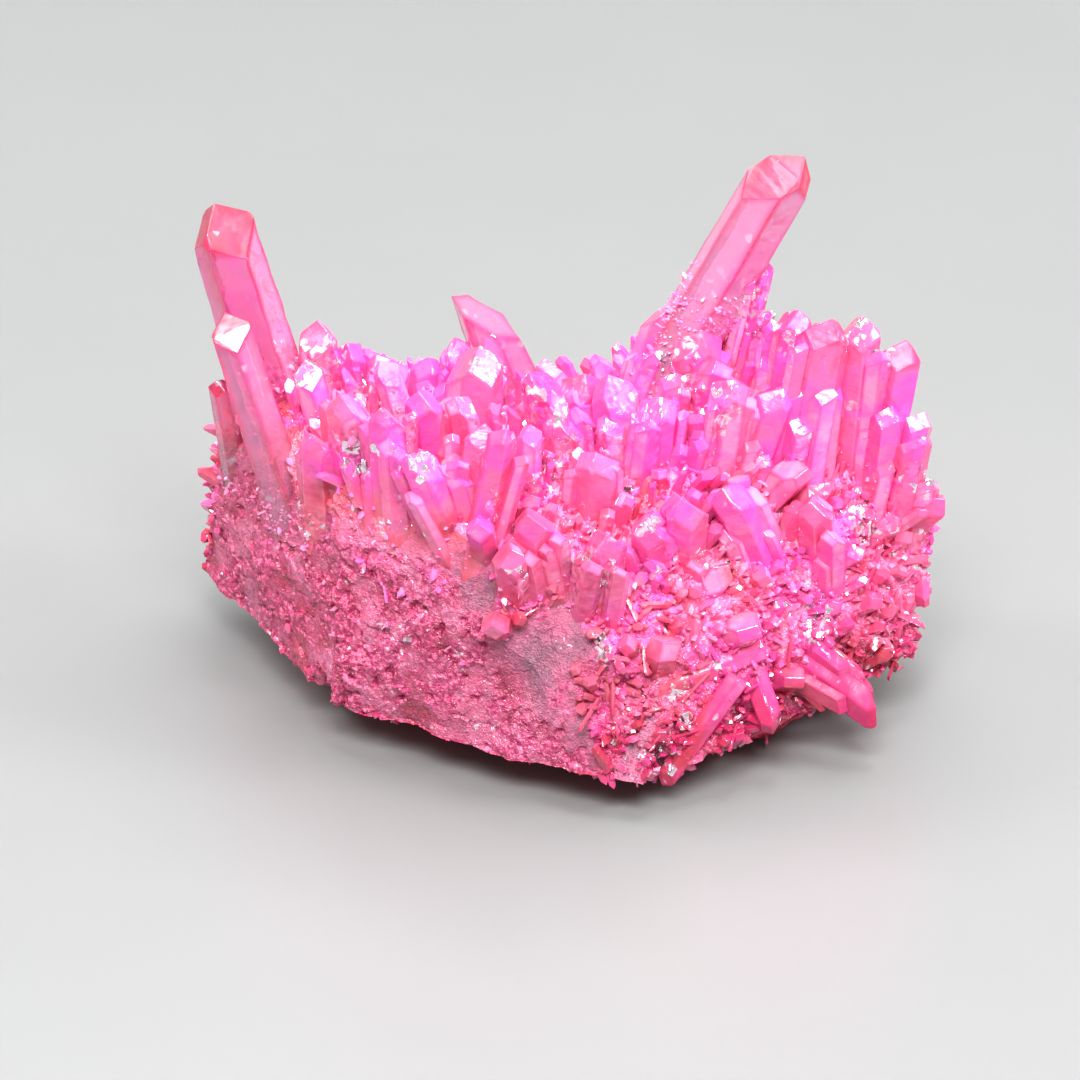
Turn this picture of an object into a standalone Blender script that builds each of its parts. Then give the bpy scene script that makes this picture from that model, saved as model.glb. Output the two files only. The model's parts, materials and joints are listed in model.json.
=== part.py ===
"""Pink aura quartz cluster, one grown-together piece of quartz, at its real size.

Run with: blender --background --python part.py
Metres, +Z up, +X to the right along the long side, -Y towards the front. The origin is on the flat
broken foot that the cluster rests on.
"""

import math
import random

import bmesh
import bpy
from mathutils import Matrix, Vector, noise
from mathutils.bvhtree import BVHTree
from mathutils.geometry import intersect_point_line

# Driving dimensions. Corners and points below are in millimetres, and MM turns them into metres.
MM = 0.001
ROCK_EDGE = 7.0 * MM
ROCK_ROUGHNESS = 1.0 * MM
MOUND_HEIGHT = 9.0 * MM
SMALL_POINTS = 156
SMALL_WIDTHS = (1.9 * MM, 5.4 * MM)
SMALL_SPACING = 0.36
SMALL_ENDS = (-37 * MM, 40.5 * MM)
SMALL_LOWEST = 7 * MM
SMALL_ROOT = 2.5 * MM
LARGE_ROOT = 4.0 * MM

# The sloping faces at a quartz tip stand this far from its long axis.
TIP_FACE_ANGLE = math.radians(51.8)
PRISM_SIDES = 6

# The rock that the points grow from, as the corners of its broken faces.
FOOT_CORNERS = [
    (3, -12.5, 0), (-19, -3, 0), (-29, 7, 0), (-27, 15, 0), (-12, 20, 0), (19, 19, 0), (30, 8, 0), (24, -7, 0),
]
LOWER_CORNERS = [
    (-44, 22, 9), (-46, 18, 8), (-42, 12, 7.5), (-35, 1.5, 6.2), (-29, -9.5, 6), (-17.5, -14, 6.5), (-8.5, -17, 7),
    (0, -22, 5.5), (8.3, -24, 5.5), (20, -18, 6.5), (29, -10, 7), (41.5, -3.5, 9.5), (41, 9, 12),
    (36, 21, 11), (10, 26, 9), (-28, 27, 8),
]
UPPER_CORNERS = [
    (-42, 14, 29), (-34, 6, 31), (-27, -5, 35), (-18, -11.5, 37), (-9, -15.5, 31), (43.5, 4, 26), (41, 11, 33),
    (36, 19, 34), (10, 22, 36), (-15, 22, 35), (-31, 24.5, 34), (-38, 20, 36), (-42, 21, 31),
    (2, -9, 34.5), (4, 4, 37), (22, 0, 34), (31, 7, 35), (14, -13, 25), (29, -5, 25), (-14, 27.5, 21),
    (22, 26, 23),
]

# Where the top rises round the tallest point: middle and spread, in millimetres.
MOUND_MIDDLE, MOUND_SPREAD = (16.5, 13), (9, 8)

# The front left of the rock is a bare broken face that looks this way. No points grow on it.
BARE_FACE = Vector((-0.63, -0.77, 0.1))

# The points that stand out: root, tip, width, width at the tip end as a share of that, turn about the long
# axis in degrees, which also turns the leading tip face, and how far that face is cut down, as a share of
# the width.
LARGE_POINTS = {
    "left tower": ((-35.8, 17.6, 32), (-42.5, 17, 61.2), 10.6, 0.80, 0, 0.12),
    "left sister": ((-34.6, 6, 27), (-41.2, 9.5, 50.5), 7.0, 0.84, 10, 0.15),
    "left stub": ((-41.0, 14, 26), (-42.4, 12.6, 39.2), 3.6, 0.80, 25, 0.2),
    "rim 1": ((-30.3, 17, 34), (-30.7, 17.5, 44.6), 5.4, 0.85, 5, 0.3),
    "rim 2": ((-25.9, 17, 33), (-27.0, 16.5, 42.2), 4.7, 0.85, 20, 0.1),
    "rim 3": ((-21.6, 14, 32), (-23.1, 14, 42.2), 5.0, 0.9, 12, 0.3),
    "rim 4": ((-18.0, 12, 32), (-17.1, 12, 42.8), 4.7, 0.85, 0, 0.1),
    "column 1": ((-29.6, -0.5, 27), (-29.9, -3.6, 42.2), 5.4, 0.88, 14, 0.4),
    "column 2": ((-25.6, -2.0, 29), (-26.3, -4.0, 47.6), 5.7, 0.90, 3, 0.3),
    "column 3": ((-21.0, -7.0, 30), (-21.5, -8.2, 48.6), 5.4, 0.90, 22, 0.3),
    "column 4": ((-16.3, 0.8, 29), (-17.5, -1.5, 46.4), 5.4, 0.88, 8, 0.2),
    "petal": ((-13.6, -10.0, 29), (-18.4, -12.6, 45.0), 5.8, 0.84, 16, 0.35),
    "horn left": ((-12.3, 13, 33), (-13.8, 13.5, 44.6), 4.8, 0.82, 10, 0.3),
    "horn": ((-5.2, 14, 32), (-13.9, 15.5, 54.8), 9.8, 0.40, 60, 0.9),
    "horn front": ((-12.2, 6.5, 29), (-11.3, 8.5, 47.0), 7.8, 0.88, 0, 0.2),
    "sparkle": ((-1.0, 2.0, 27), (-3.7, 1.0, 48.4), 6.4, 0.90, 28, 0.5),
    "middle 1": ((0.6, 6.0, 29), (1.6, 5.5, 44.8), 7.3, 0.88, 0, 0.15),
    "middle 2": ((0.4, 1.0, 28), (-1.6, -1.0, 43.4), 6.4, 0.85, 18, 0.25),
    "middle 3": ((-11.6, -12.6, 27), (-7.6, -14.2, 49.2), 4.7, 0.82, 6, 0.2),
    "middle 4": ((-12.2, -9.2, 28), (-10.3, -9.0, 46.4), 5.2, 0.86, 20, 0.1),
    "middle 5": ((-9.6, -11.8, 28), (-10.9, -18.2, 38.4), 4.0, 0.90, 10, 0.1),
    "middle 6": ((2.0, -6.6, 26), (3.4, -8.4, 43.0), 6.4, 0.88, 4, 0.3),
    "middle 7": ((8.8, -0.2, 29), (10.5, -1.4, 45.6), 6.1, 0.90, 0, 0.1),
    "middle 8": ((6.2, 2.4, 29), (4.9, 2.6, 46.2), 6.6, 0.88, 24, 0.3),
    "tower back": ((13.6, 9.2, 36), (15.6, 7.6, 49.8), 7.6, 0.86, 10, 0.2),
    "tower left": ((7.5, 9.5, 36), (11.6, 12, 50.2), 5.4, 0.86, 20, 0.2),
    "tower side": ((19.5, 11, 40), (22.8, 13, 56.0), 4.2, 0.86, 10, 0.3),
    "right tower": ((10.2, 10, 39), (27.0, 15.0, 69.8), 8.6, 0.92, 75, 0.42),
    "middle 9": ((17.0, 1.5, 29), (18.8, 0.0, 47.2), 6.1, 0.90, 2, 0.15),
    "middle 10": ((20.4, 2.6, 29), (25.0, 1.6, 45.8), 6.1, 0.88, 15, 0.3),
    "glint": ((25.4, 11.6, 34), (22.2, 11.6, 49.6), 3.0, 0.92, 28, 0.4),
    "right 0": ((23.6, 8.0, 30), (26.7, 9.5, 51.2), 5.4, 0.86, 30, 0.2),
    "right 1": ((26.2, 4.0, 27), (30.4, 4.0, 54.2), 7.8, 0.84, 6, 0.3),
    "right 2": ((32.6, 6.0, 28), (34.2, 6.6, 51.8), 6.4, 0.86, 20, 0.15),
    "right 3": ((36.4, 6.4, 27), (39.6, 7.4, 48.8), 7.4, 0.84, 0, 0.2),
    "right 4": ((38.4, 3.0, 22), (41.2, 2.4, 39.4), 6.4, 0.72, 12, 0.5),
    "right 5": ((38.4, 4.0, 22), (45.0, 1.4, 29.8), 5.4, 0.80, 30, 0.2),
    "face 1": ((12.6, -6.6, 22), (13.4, -11.2, 38.0), 6.4, 0.90, 8, 0.25),
    "face 2": ((23.6, -4.6, 21), (17.9, -8.6, 37.4), 5.9, 0.88, 20, 0.15),
    "face 3": ((9.6, -8.0, 23), (8.9, -13.6, 35.8), 5.2, 0.86, 0, 0.2),
    "face 4": ((3.0, -13.0, 21), (4.2, -17.6, 36.8), 5.8, 0.86, 12, 0.15),
    "face 5": ((-3.0, -12.0, 25), (-4.8, -16.0, 38.8), 5.8, 0.88, 25, 0.25),
    "face 6": ((29.8, -2.2, 19), (28.6, -6.8, 34.4), 5.4, 0.84, 8, 0.2),
    "low 1": ((27.0, -8.0, 13), (38.6, -13.2, 6.2), 5.6, 0.92, 0, 0.6),
    "low 2": ((17.4, -17.4, 12), (10.4, -21.6, 3.0), 3.2, 0.88, 10, 0.2),
    "low 3": ((21.0, -11.8, 15), (24.4, -17.8, 7.6), 3.8, 0.86, 16, 0.2),
    "lying": ((19.0, -13.8, 16), (8.0, -18.2, 13.6), 3.4, 0.80, 5, 0.3),
}


def clear_scene():
    for obj in list(bpy.data.objects):
        bpy.data.objects.remove(obj)


def new_object(name, bm, collection):
    mesh = bpy.data.meshes.new(name)
    bm.to_mesh(mesh)
    bm.free()
    obj = bpy.data.objects.new(name, mesh)
    collection.objects.link(obj)
    return obj


def mound(point):
    """A smooth hill of height 1, read from above."""
    across = (point.x / MM - MOUND_MIDDLE[0]) / MOUND_SPREAD[0]
    along = (point.y / MM - MOUND_MIDDLE[1]) / MOUND_SPREAD[1]
    return math.exp(-(across**2) - along**2)


def rock_surface(point, normal):
    """Where a point of the cornered rock ends up once the rock is lumped and raised."""
    above_foot = min(1.0, max(0.0, point.z / (4 * MM)))
    lumps = noise.noise(point / (9 * MM)) + 0.6 * noise.noise(point / (4 * MM))
    moved = point + normal * lumps * ROCK_ROUGHNESS * above_foot
    facing_up = max(0.0, normal.z) ** 0.5
    moved.z += facing_up * MOUND_HEIGHT * mound(point)
    return moved


def rock_mesh(longest_edge):
    """The rock as a cornered block whose faces are split until no edge is too long, then roughened."""
    bm = bmesh.new()
    for corner in FOOT_CORNERS + LOWER_CORNERS + UPPER_CORNERS:
        bm.verts.new(Vector(corner) * MM)
    hull = bmesh.ops.convex_hull(bm, input=bm.verts[:])
    inside = [v for v in hull["geom_interior"] if isinstance(v, bmesh.types.BMVert)]
    bmesh.ops.delete(bm, geom=inside, context="VERTS")
    long_edges = bm.edges[:]
    while long_edges:
        bmesh.ops.subdivide_edges(bm, edges=long_edges, cuts=1)
        bmesh.ops.triangulate(bm, faces=bm.faces[:])
        bmesh.ops.beautify_fill(bm, faces=bm.faces[:], edges=bm.edges[:])
        long_edges = [e for e in bm.edges if e.calc_length() > longest_edge]
    bm.normal_update()
    placed = [rock_surface(v.co.copy(), v.normal.copy()) for v in bm.verts]
    for vert, place in zip(bm.verts, placed):
        vert.co = place
    bmesh.ops.recalc_face_normals(bm, faces=bm.faces[:])
    return bm


def add_point(bm, root, tip, width, taper, turn, setbacks, flatness):
    """Adds a six-sided prism from root to tip, cut to a point by sloping faces. Each setback is one face, and
    a face with a larger one is cut further down. None leaves its side without a face. Flatness is the
    prism's thickness as a share of its width."""
    length = (tip - root).length
    made = bmesh.new()
    bmesh.ops.create_cone(
        made, cap_ends=True, segments=PRISM_SIDES, radius1=width / 2, radius2=width * taper / 2,
        depth=length * 1.1, matrix=Matrix.Translation((0, 0, length * 0.55)),
    )
    bmesh.ops.scale(made, vec=(1.0, flatness, 1.0), verts=made.verts[:])
    for side, setback in enumerate(setbacks):
        if setback is None:
            continue
        around = 2 * math.pi * (side + 0.5) / PRISM_SIDES
        slope = Vector((math.cos(around), math.sin(around), 1 / math.tan(TIP_FACE_ANGLE))).normalized()
        bmesh.ops.bisect_plane(
            made, geom=made.verts[:] + made.edges[:] + made.faces[:],
            plane_co=(0, 0, length - setback * width), plane_no=slope, clear_outer=True,
        )
        rim = [e for e in made.edges if e.is_boundary]
        if rim:
            bmesh.ops.contextual_create(made, geom=rim)
    bmesh.ops.recalc_face_normals(made, faces=made.faces[:])
    upright = (tip - root).to_track_quat("Z", "Y").to_matrix().to_4x4()
    made.transform(Matrix.Translation(root) @ upright @ Matrix.Rotation(turn, 4, "Z"))
    mesh = bpy.data.meshes.new("point")
    made.to_mesh(mesh)
    made.free()
    bm.from_mesh(mesh)
    bpy.data.meshes.remove(mesh)


def tip_faces(chance, leading, small_too):
    """Three large tip faces, the leading one first, and between them three small ones or none."""
    setbacks = []
    for setback in (leading, chance.uniform(0.0, 0.1), chance.uniform(0.0, 0.1)):
        setbacks += [setback, -chance.uniform(0.06, 0.16) if small_too else None]
    return setbacks


def large_points(bm, chance):
    for root, tip, width, taper, turn, leading in LARGE_POINTS.values():
        root, tip = Vector(root) * MM, Vector(tip) * MM
        root -= (tip - root).normalized() * LARGE_ROOT
        setbacks = tip_faces(chance, leading, small_too=width > 4.5)
        flatness = chance.uniform(0.86, 1.0)
        add_point(bm, root, tip, width * MM, taper, math.radians(turn), setbacks, flatness)


def small_points(bm, chance, rock):
    """Scatters small points over the top and the right of the rock, spaced so that each one shows. The
    broken back, left end and underside have none."""
    surface = BVHTree.FromBMesh(rock)
    faces = [f for f in rock.faces if f.normal.z > -0.25 and f.normal.y < 0.6]
    faces = [f for f in faces if f.normal.dot(BARE_FACE) < 0.72]
    areas = [f.calc_area() for f in faces]
    taken = []
    for root, tip, width, *rest in LARGE_POINTS.values():
        taken.append((Vector(root) * MM, Vector(tip) * MM, width * MM))
    made = 0
    while made < SMALL_POINTS:
        face = chance.choices(faces, areas)[0]
        corners = [v.co for v in face.verts]
        share = sorted((chance.random(), chance.random()))
        place = corners[0] * share[0] + corners[1] * (share[1] - share[0]) + corners[2] * (1 - share[1])
        if place.z < SMALL_LOWEST or not SMALL_ENDS[0] < place.x < SMALL_ENDS[1]:
            continue
        low, high = SMALL_WIDTHS
        width = low + (high - low) * chance.random() ** 2
        nearest = [intersect_point_line(place, root, tip)[0] for root, tip, size in taken]
        gaps = [(place - near).length / (width + other[2]) for near, other in zip(nearest, taken)]
        if min(gaps) < SMALL_SPACING:
            made += 0.01
            continue
        normal = surface.find_nearest(place)[1]
        outwards = Vector((place.x, place.y * 0.8, 0.0)) / (45 * MM)
        jitter = Vector([chance.gauss(0, 0.22) for axis in range(3)])
        grown = (normal * 0.75 + Vector((0, 0, 0.75)) + outwards * 0.5 + jitter).normalized()
        if grown.dot(normal) < 0.35:
            grown = (grown + normal * 0.6).normalized()
        reach = width * chance.uniform(0.7, 1.2) * (0.8 + max(0.0, place.z - 15 * MM) / (25 * MM))
        reach *= 0.6 if place.y > 13 * MM else 1.0
        root, tip = place - grown * SMALL_ROOT, place + grown * reach
        taken.append((root, tip, width))
        turn = chance.uniform(0, math.pi)
        setbacks = tip_faces(chance, chance.uniform(0.1, 0.5), small_too=False)
        taper, flatness = chance.uniform(0.75, 0.95), chance.uniform(0.7, 1.0)
        add_point(bm, root, tip, width, taper, turn, setbacks, flatness)
        made += 1


def keep_largest_shell(bm):
    """Removes the small closed hollows that are left where points meet."""
    unseen = set(bm.faces)
    shells = []
    while unseen:
        shell, reached = [], [unseen.pop()]
        while reached:
            face = reached.pop()
            shell.append(face)
            for edge in face.edges:
                for other in edge.link_faces:
                    if other in unseen:
                        unseen.remove(other)
                        reached.append(other)
        shells.append(shell)
    shells.sort(key=len)
    for shell in shells[:-1]:
        bmesh.ops.delete(bm, geom=shell, context="FACES")
    return len(shells) - 1


def quartz_material():
    material = bpy.data.materials.new("pink aura quartz")
    material.use_nodes = True
    surface = material.node_tree.nodes["Principled BSDF"]
    surface.inputs["Base Color"].default_value = (0.95, 0.16, 0.42, 1.0)
    surface.inputs["Roughness"].default_value = 0.12
    surface.inputs["Metallic"].default_value = 0.0
    surface.inputs["IOR"].default_value = 1.544
    surface.inputs["Transmission Weight"].default_value = 0.4
    return material


def main():
    clear_scene()
    collection = bpy.data.collections.new("aura_quartz_cluster")
    bpy.context.scene.collection.children.link(collection)
    growth = bpy.data.collections.new("points before they are joined")
    bpy.context.scene.collection.children.link(growth)

    chance = random.Random(13)
    rock = rock_mesh(ROCK_EDGE)
    points = bmesh.new()
    large_points(points, chance)
    small_points(points, chance, rock)
    points_object = new_object("points", points, growth)
    points_object.hide_render = True
    points_object.display_type = "WIRE"

    cluster = new_object("aura_quartz_cluster", rock, collection)
    joined = cluster.modifiers.new("joined with its points", "BOOLEAN")
    joined.operation = "UNION"
    joined.solver = "EXACT"
    joined.use_self = True
    joined.object = points_object

    shaped = bpy.data.meshes.new_from_object(cluster.evaluated_get(bpy.context.evaluated_depsgraph_get()))
    bm = bmesh.new()
    bm.from_mesh(shaped)
    bmesh.ops.dissolve_limit(bm, angle_limit=0.01, verts=bm.verts[:], edges=bm.edges[:])
    bmesh.ops.dissolve_degenerate(bm, edges=bm.edges[:], dist=0.00002)
    hollows = keep_largest_shell(bm)
    bmesh.ops.triangulate(bm, faces=bm.faces[:])
    cluster.modifiers.clear()
    bm.to_mesh(cluster.data)
    bm.free()
    cluster.data.materials.clear()
    cluster.data.materials.append(quartz_material())
    print(len(cluster.data.polygons), "triangles,", hollows, "hollows removed")


main()
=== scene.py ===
"""Looks of the pink aura quartz cluster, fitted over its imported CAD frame.

Metres, +Z up, -Y towards the viewer. Every piece rides on the one body, "root".
"""

import json
import math
import random

import bmesh
import bpy
from mathutils import Matrix, Vector, noise
from mathutils.bvhtree import BVHTree
from mathutils.geometry import intersect_point_line

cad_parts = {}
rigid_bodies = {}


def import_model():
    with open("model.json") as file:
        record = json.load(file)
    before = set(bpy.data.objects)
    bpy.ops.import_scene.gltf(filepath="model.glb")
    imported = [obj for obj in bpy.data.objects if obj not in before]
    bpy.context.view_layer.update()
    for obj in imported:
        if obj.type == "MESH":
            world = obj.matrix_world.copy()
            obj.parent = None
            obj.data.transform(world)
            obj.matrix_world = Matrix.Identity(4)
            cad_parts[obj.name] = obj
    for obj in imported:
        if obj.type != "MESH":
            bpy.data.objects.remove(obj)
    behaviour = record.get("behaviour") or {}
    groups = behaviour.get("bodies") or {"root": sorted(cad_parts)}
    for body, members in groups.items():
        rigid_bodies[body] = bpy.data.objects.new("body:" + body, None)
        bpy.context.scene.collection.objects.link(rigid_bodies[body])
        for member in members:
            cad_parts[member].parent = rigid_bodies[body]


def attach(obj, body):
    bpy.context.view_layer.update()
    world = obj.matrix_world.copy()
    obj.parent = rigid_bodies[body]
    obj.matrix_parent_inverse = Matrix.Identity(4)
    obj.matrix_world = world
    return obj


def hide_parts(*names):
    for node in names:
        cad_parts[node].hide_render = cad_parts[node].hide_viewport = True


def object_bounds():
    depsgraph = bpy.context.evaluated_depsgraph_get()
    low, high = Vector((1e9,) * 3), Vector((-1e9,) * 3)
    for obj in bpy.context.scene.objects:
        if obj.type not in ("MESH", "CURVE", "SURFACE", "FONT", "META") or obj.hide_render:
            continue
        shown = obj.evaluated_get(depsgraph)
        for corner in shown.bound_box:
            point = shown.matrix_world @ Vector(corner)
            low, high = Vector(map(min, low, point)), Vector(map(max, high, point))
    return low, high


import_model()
cad_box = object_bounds()
MM = 0.001
scene = bpy.context.scene

# The rock
# Milky quartz that broke off its bed with the points on it, one closed mesh in place of the solid's rock. It
# starts from the same cornered block as the solid, and each of its faces is split finely and worked into
# grains, ledges and hollows.
ROCK_CORNERS = [
    (3, -12.5, 0), (-19, -3, 0), (-29, 7, 0), (-27, 15, 0), (-12, 20, 0), (19, 19, 0), (30, 8, 0), (24, -7, 0),
    (-44, 22, 9), (-46, 18, 8), (-42, 12, 7.5), (-35, 1.5, 6.2), (-29, -9.5, 6), (-17.5, -14, 6.5),
    (-8.5, -17, 7), (0, -22, 5.5), (8.3, -24, 5.5), (20, -18, 6.5), (29, -10, 7), (41.5, -3.5, 9.5),
    (41, 9, 12), (36, 21, 11), (10, 26, 9), (-28, 27, 8),
    (-42, 14, 29), (-34, 6, 31), (-27, -5, 35), (-18, -11.5, 37), (-9, -15.5, 31), (43.5, 4, 26), (41, 11, 33),
    (36, 19, 34), (10, 22, 36), (-15, 22, 35), (-31, 24.5, 34), (-38, 20, 36), (-42, 21, 31),
    (2, -9, 34.5), (4, 4, 37), (22, 0, 34), (31, 7, 35), (14, -13, 25), (29, -5, 25), (-14, 27.5, 21),
    (22, 26, 23),
]
# The way the bare face looks, and the smoother ridge along its right edge.
BARE_FACE = Vector((-0.63, -0.77, 0.1))
RIDGE = [Vector(corner) * MM for corner in ((-20, -10.5, 37), (-9, -15.5, 31), (8.3, -24, 5.5))]
COARSE_EDGE = 7.0 * MM
SPLITS = 7
# What every corner of the rock carries, each from 0 to 1, save the coating's drift and flecks at the end.
ROCK_LAYERS = ("grain", "hollow", "druse", "bare", "upper", "ridge", "under", "drift", "sparkle")
QUARTZ_IOR = 1.544


def rock_surface(point, normal):
    """Where a point of the cornered rock ends up once the rock is lumped and raised round the tall point."""
    above_foot = min(1.0, max(0.0, point.z / (4 * MM)))
    lumps = noise.noise(point / (9 * MM)) + 0.6 * noise.noise(point / (4 * MM))
    moved = point + normal * lumps * 1.0 * MM * above_foot
    across = (point.x / MM - 16.5) / 9
    along = (point.y / MM - 13) / 8
    moved.z += max(0.0, normal.z) ** 0.5 * 9.0 * MM * math.exp(-(across**2) - along**2)
    return moved


def coarse_rock():
    """The cornered block, its long edges halved until none is left, then lumped."""
    bm = bmesh.new()
    for corner in ROCK_CORNERS:
        bm.verts.new(Vector(corner) * MM)
    hull = bmesh.ops.convex_hull(bm, input=bm.verts[:])
    inside = [v for v in hull["geom_interior"] if isinstance(v, bmesh.types.BMVert)]
    bmesh.ops.delete(bm, geom=inside, context="VERTS")
    long_edges = bm.edges[:]
    while long_edges:
        bmesh.ops.subdivide_edges(bm, edges=long_edges, cuts=1)
        bmesh.ops.triangulate(bm, faces=bm.faces[:])
        bmesh.ops.beautify_fill(bm, faces=bm.faces[:], edges=bm.edges[:])
        long_edges = [e for e in bm.edges if e.calc_length() > COARSE_EDGE]
    bm.normal_update()
    placed = [rock_surface(v.co.copy(), v.normal.copy()) for v in bm.verts]
    for vert, place in zip(bm.verts, placed):
        vert.co = place
    bmesh.ops.recalc_face_normals(bm, faces=bm.faces[:])
    return bm


def smoothstep(low, high, value):
    """From 0 to 1 as the value goes from low to high, with eased ends."""
    share = min(1.0, max(0.0, (value - low) / (high - low)))
    return share * share * (3 - 2 * share)


def broken_grains(point, size):
    """The height of tilted flat facets, one to a cell of about this size, as broken crystal grains have."""
    distances, seeds = noise.voronoi(point / size)
    tilt = Vector(noise.cell_vector(seeds[0] * 7.31)) - Vector((0.5, 0.5, 0.5))
    step = noise.cell(seeds[0] * 3.17)
    return (point / size - seeds[0]).dot(tilt) * 1.1 + step * 0.35


def distance_to_ridge(point):
    """How far a point is from the nearest spot on the ridge."""
    gaps = []
    for start, end in zip(RIDGE, RIDGE[1:]):
        near, share = intersect_point_line(point, start, end)
        near = start.lerp(end, min(1.0, max(0.0, share)))
        gaps.append((point - near).length)
    return min(gaps)


# Where the coating mirrors in clusters of small flecks, and how far each cluster reaches.
SPARKLES = {
    (-30, 14, 42): 4, (-25, -5, 40): 4, (-3.7, -1, 44.6): 4.5, (-3.5, -5, 37): 4, (-18, -11, 43): 3,
    (9, -12, 35): 3, (21.5, 11, 50): 4, (3, -16, 32): 4, (12, 4, 46): 3.5, (17, 2, 40): 2.5,
    (36, -2, 28): 4, (30, -9, 18): 3, (3.5, -20, 22): 3, (13, -19, 15): 2, (-20, -13, 18): 3.5,
    (-38, 4, 24): 3,
}


def coating_at(point):
    """The coating's drift of colour at this point, and how likely flecks are there."""
    nearest = min((point / MM - Vector(spot)).length / reach for spot, reach in SPARKLES.items())
    rare = 0.36 * smoothstep(0.05, 0.4, noise.noise(point / (5 * MM) + Vector((3, 8, 1))))
    drift = 0.38 + 0.4 * noise.noise(point / (9 * MM))
    return drift, max(rare, 0.72 * smoothstep(1.3, 0.4, nearest))


ground = coarse_rock()
rock_bm = ground.copy()
bmesh.ops.subdivide_edges(rock_bm, edges=rock_bm.edges[:], cuts=SPLITS, use_grid_fill=True)
bmesh.ops.triangulate(rock_bm, faces=rock_bm.faces[:])
rock_bm.normal_update()
bare_edges = {e for f in rock_bm.faces if f.normal.dot(BARE_FACE) > 0.55 for e in f.edges}
bmesh.ops.subdivide_edges(rock_bm, edges=list(bare_edges), cuts=1, use_grid_fill=True)
bmesh.ops.triangulate(rock_bm, faces=rock_bm.faces[:])
rock_bm.normal_update()
layers = {name: rock_bm.verts.layers.float.new(name) for name in ROCK_LAYERS}
moves = []
for vert in rock_bm.verts:
    point, normal = vert.co.copy(), vert.normal.copy()
    above_foot = smoothstep(0.2 * MM, 2.5 * MM, point.z)
    bare = smoothstep(0.5, 0.75, normal.dot(BARE_FACE.normalized()))
    back = smoothstep(0.35, 0.7, normal.y)
    wander = noise.noise(point / (5 * MM)) * 1.8 * MM
    ridge = smoothstep(7.5 * MM, 4.0 * MM, distance_to_ridge(point) + wander) * bare
    patches = noise.fractal(point / (5 * MM), 0.7, 2.1, 3) + 0.5 * noise.noise(point / (1.3 * MM))
    grainy = smoothstep(-0.22, 0.12, patches - 0.55 * ridge)
    ledges = noise.hetero_terrain(point / (5 * MM), 0.9, 2.2, 4, 0.6) * 0.28
    coarse = broken_grains(point, 2.3 * MM) * 0.42
    fine = broken_grains(point + Vector((0.3, 0.1, 0.2)), 0.8 * MM) * 0.21
    pit = smoothstep(0.15, 0.6, noise.noise(point / (1.4 * MM) + Vector((9, 3, 5)))) * grainy
    height = ledges + (coarse + fine * (0.2 + 0.8 * grainy)) * (1 - 0.6 * ridge) - 0.6 * pit - 0.55
    moves.append(normal * height * MM * above_foot)
    vert[layers["grain"]] = grainy
    vert[layers["hollow"]] = min(1.0, max(0.0, 0.5 - 0.55 * (height + 0.5)))
    covered = smoothstep(-0.35, 0.1, normal.z) * (1 - bare) * (1 - 0.85 * back)
    inside = min(min(point[axis] - cad_box[0][axis], cad_box[1][axis] - point[axis]) for axis in range(3))
    corner = smoothstep(8 * MM, 4 * MM, (point - RIDGE[-1]).length)
    vert[layers["druse"]] = max(covered, 0.06 * grainy, corner) * smoothstep(0.5 * MM, 1.5 * MM, inside)
    vert[layers["upper"]] = bare * smoothstep(26 * MM, 33 * MM, point.z + 1.5 * wander)
    vert[layers["bare"]] = max(bare, back, smoothstep(-0.1, -0.5, normal.z)) - vert[layers["upper"]]
    vert[layers["under"]] = smoothstep(-0.25, -0.6, normal.z)
    vert[layers["ridge"]] = ridge
    vert[layers["drift"]], vert[layers["sparkle"]] = coating_at(point)
for vert, move in zip(rock_bm.verts, moves):
    vert.co += move
rock_mesh = bpy.data.meshes.new("rock")
rock_bm.to_mesh(rock_mesh)
rock_bm.free()
rock = bpy.data.objects.new("rock", rock_mesh)
scene.collection.objects.link(rock)


def new_material(name):
    """A node material, its tree and its one surface shader."""
    material = bpy.data.materials.new(name)
    material.use_nodes = True
    tree = material.node_tree
    return material, tree, tree.nodes["Principled BSDF"]


def node(tree, kind, inputs=(), **settings):
    """A new node. Inputs are given by name or number, each a value or another node's output."""
    made = tree.nodes.new(kind)
    for key, value in settings.items():
        setattr(made, key, value)
    for key, value in dict(inputs).items():
        if isinstance(value, bpy.types.NodeSocket):
            tree.links.new(value, made.inputs[key])
        else:
            made.inputs[key].default_value = value
    return made


def attribute(tree, name):
    """A value that a mesh carries at its corners."""
    return node(tree, "ShaderNodeAttribute", attribute_name=name).outputs["Fac"]


def maths(tree, operation, *values, clamp=False):
    """A sum, product or the like of values and other nodes' outputs."""
    values = dict(enumerate(values))
    return node(tree, "ShaderNodeMath", values, operation=operation, use_clamp=clamp).outputs[0]


def spread(tree, value, *bounds):
    """Maps a value from one range to another, clamped: from low, from high, to low, to high."""
    return node(tree, "ShaderNodeMapRange", dict(enumerate((value, *bounds)))).outputs[0]


def mix(tree, share, first, second, blend="MIX"):
    """The second colour laid over the first by its share."""
    colours = {0: share, 6: first, 7: second}
    return node(tree, "ShaderNodeMix", colours, data_type="RGBA", blend_type=blend).outputs[2]


def ramp(tree, value, *stops):
    """A colour ramp through stops, each a position and a colour."""
    made = node(tree, "ShaderNodeValToRGB", {0: value})
    while len(made.color_ramp.elements) < len(stops):
        made.color_ramp.elements.new(0.5)
    for element, (position, colour) in zip(made.color_ramp.elements, stops):
        element.position = position
        element.color = (*colour, 1.0)
    return made.outputs["Color"]


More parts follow.
